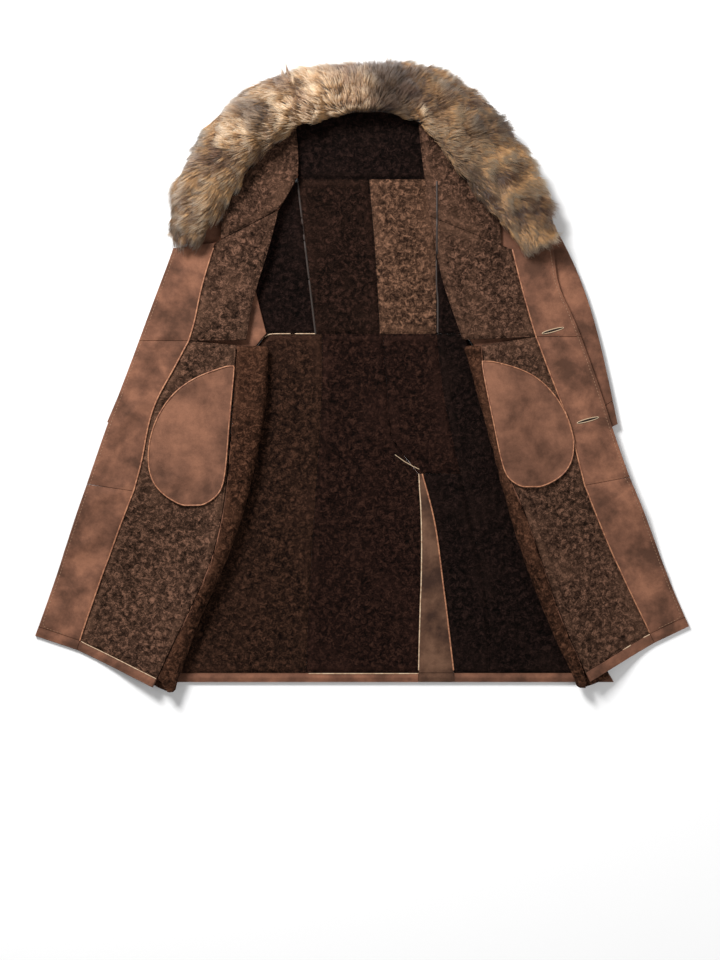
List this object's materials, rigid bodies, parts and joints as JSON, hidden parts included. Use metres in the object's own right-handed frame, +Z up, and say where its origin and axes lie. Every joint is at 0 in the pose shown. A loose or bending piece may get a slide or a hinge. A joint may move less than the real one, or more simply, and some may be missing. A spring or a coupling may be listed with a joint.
{
  "type": "shearling coat",
  "caption": "Long shearling coat with a fur collar, laid on its back with both fronts turned open so that the wool side and the inner pocket bags show.",
  "frame": {"origin": "middle of the laid coat's box, on the surface it lies on", "axes": "+Z up from the surface, +Y from the hem to the collar, +X across the coat to its right front's side"},
  "size_m": [1.2176, 1.171, 0.075],
  "materials": {
    "wool": "clipped brown wool side of a sheepskin pelt",
    "dark_wool": "darker, less worn wool side of the same pelt",
    "suede": "brown napped suede with a light piping along its edges",
    "fur": "long fur, tan tips over a brown and dark base",
    "horn": "dark horn-like button"
  },
  "bodies": {
    "root": {"back_centre_left": "dark_wool", "back_centre_right": "dark_wool", "back_side_left": "wool", "back_side_right": "dark_wool", "back_skirt_right": "dark_wool", "back_upper_left": "wool", "back_upper_right": "wool", "button_lower": "horn", "button_upper": "horn", "cuff_left_top": "suede", "cuff_left_under": "suede", "cuff_right_top": "suede", "cuff_right_under": "suede", "facing_left_lower": "suede", "facing_left_middle": "suede", "facing_left_top": "suede", "facing_right_lower": "suede", "facing_right_middle": "suede", "facing_right_top": "suede", "front_lower_left": "wool", "front_lower_right": "wool", "front_side_left": "wool", "front_side_right": "wool", "front_upper_left": "wool", "front_upper_right": "wool", "fur_collar_back": "fur", "fur_collar_left": "fur", "fur_collar_right": "fur", "hem_back_left": "suede", "hem_back_right": "suede", "hem_facing_left": "suede", "hem_facing_right": "suede", "hem_front_left": "suede", "hem_front_right": "suede", "hem_vent": "suede", "pocket_bag_left": "suede", "pocket_bag_right": "suede", "sleeve_left_top": "suede", "sleeve_left_under": "dark_wool", "sleeve_right_top": "suede", "sleeve_right_under": "dark_wool", "stand_back": "dark_wool", "stand_left": "wool", "stand_right": "wool", "vent_facing": "suede"}
  },
  "joints": []
}
